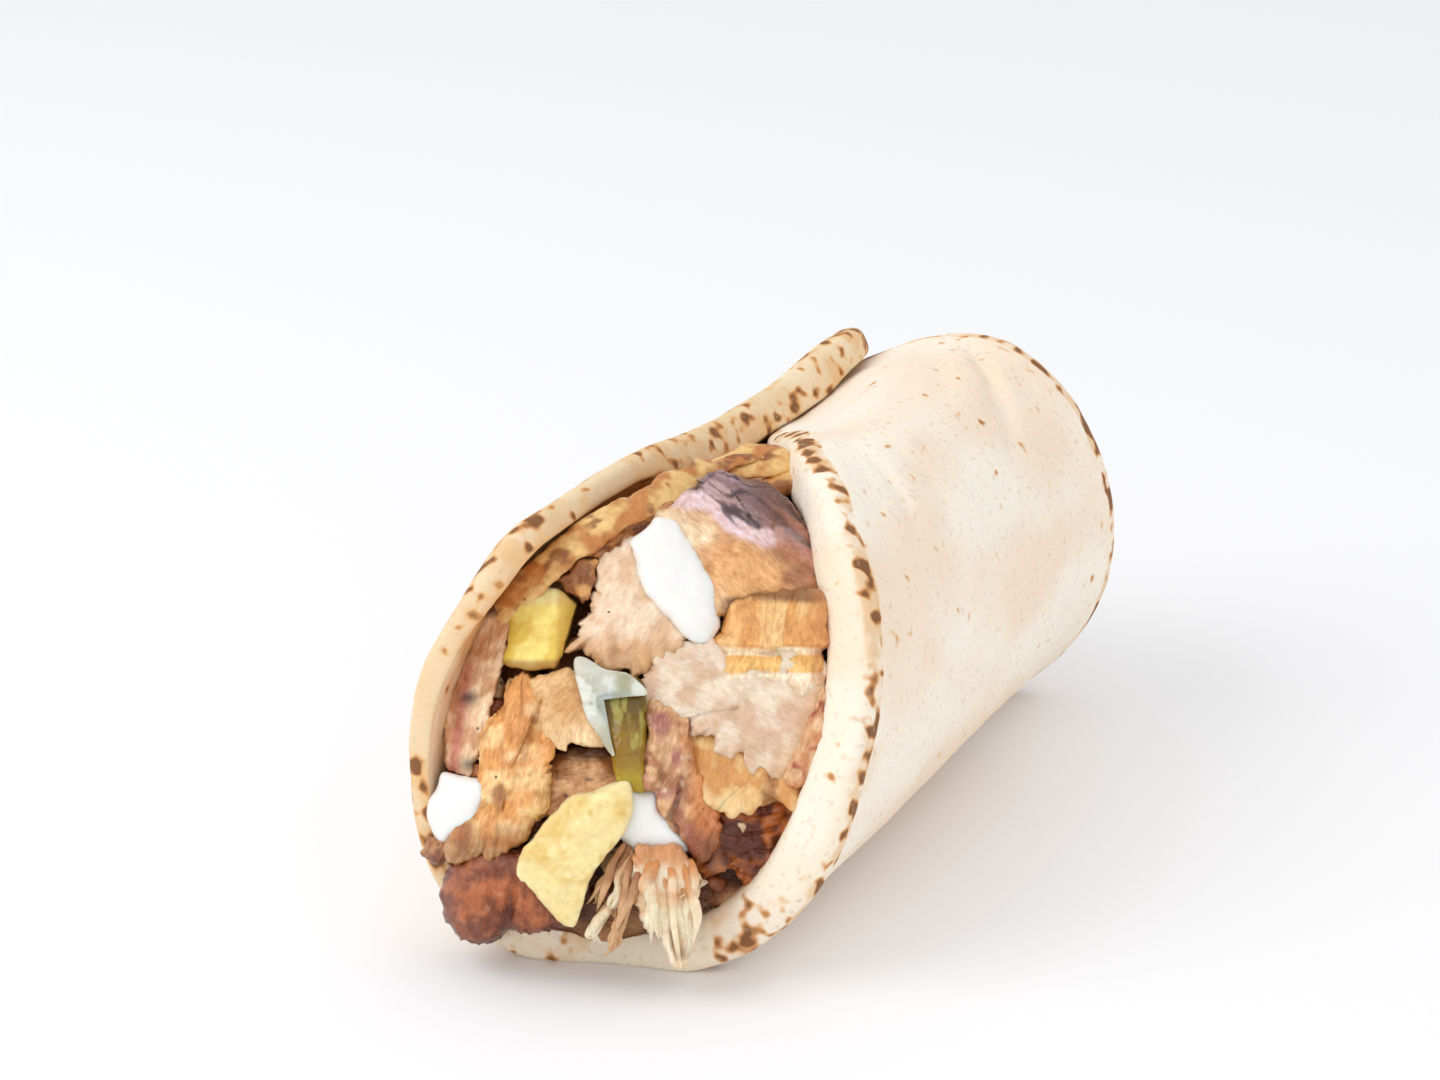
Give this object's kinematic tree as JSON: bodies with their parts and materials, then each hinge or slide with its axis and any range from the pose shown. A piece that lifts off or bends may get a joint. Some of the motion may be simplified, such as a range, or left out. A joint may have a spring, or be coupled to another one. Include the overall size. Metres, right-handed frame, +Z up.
{
  "type": "gyro wrap",
  "caption": "Thick round pita rolled round sliced roast chicken, potato, pickle, onion and white sauce, open at a slanted mouth and tucked in at the far end.",
  "frame": {"origin": "on the flattened underside, below the roll's own axis, about the middle of its length", "axes": "+Y along the roll from the open mouth to the tucked end, +X to the right as seen from the mouth, +Z up"},
  "size_m": [0.0669, 0.1379, 0.0648],
  "materials": {
    "bread": "matte baked flatbread, cream white, rim speckled brown",
    "chicken": "roast chicken, golden tan, slightly moist",
    "pale_chicken": "roast chicken breast, pale beige, slightly moist",
    "seared_chicken": "seared chicken, red-brown, glossy with juice",
    "potato": "fried potato, pale yellow with browned edges",
    "pickle": "pickle slice, olive green, wet and translucent",
    "onion": "onion slice, grey white, wet and translucent",
    "sauce": "white yoghurt sauce, glossy"
  },
  "bodies": {
    "root": {"bread": "bread", "filling_core": "seared_chicken", "sauce_top": "sauce", "onion_sliver": "onion", "pickle": "pickle", "potato_low": "potato", "sauce_left": "sauce", "potato_high": "potato", "chicken_mottled": "chicken", "chicken_right_edge": "chicken", "chicken_pale_slice": "pale_chicken", "chicken_block": "chicken", "chicken_ruffled": "pale_chicken", "chicken_fan": "pale_chicken", "chicken_golden": "chicken", "chicken_slab": "pale_chicken", "chicken_peppery": "chicken", "sauce_middle": "sauce", "chicken_dark": "seared_chicken", "chicken_torn": "pale_chicken", "chicken_shred": "pale_chicken", "chicken_glazed": "seared_chicken", "chicken_wall_strip": "chicken", "chicken_scrap_left": "seared_chicken", "chicken_scrap_top": "chicken", "chicken_top": "chicken", "chicken_under_lip": "seared_chicken"}
  },
  "joints": []
}
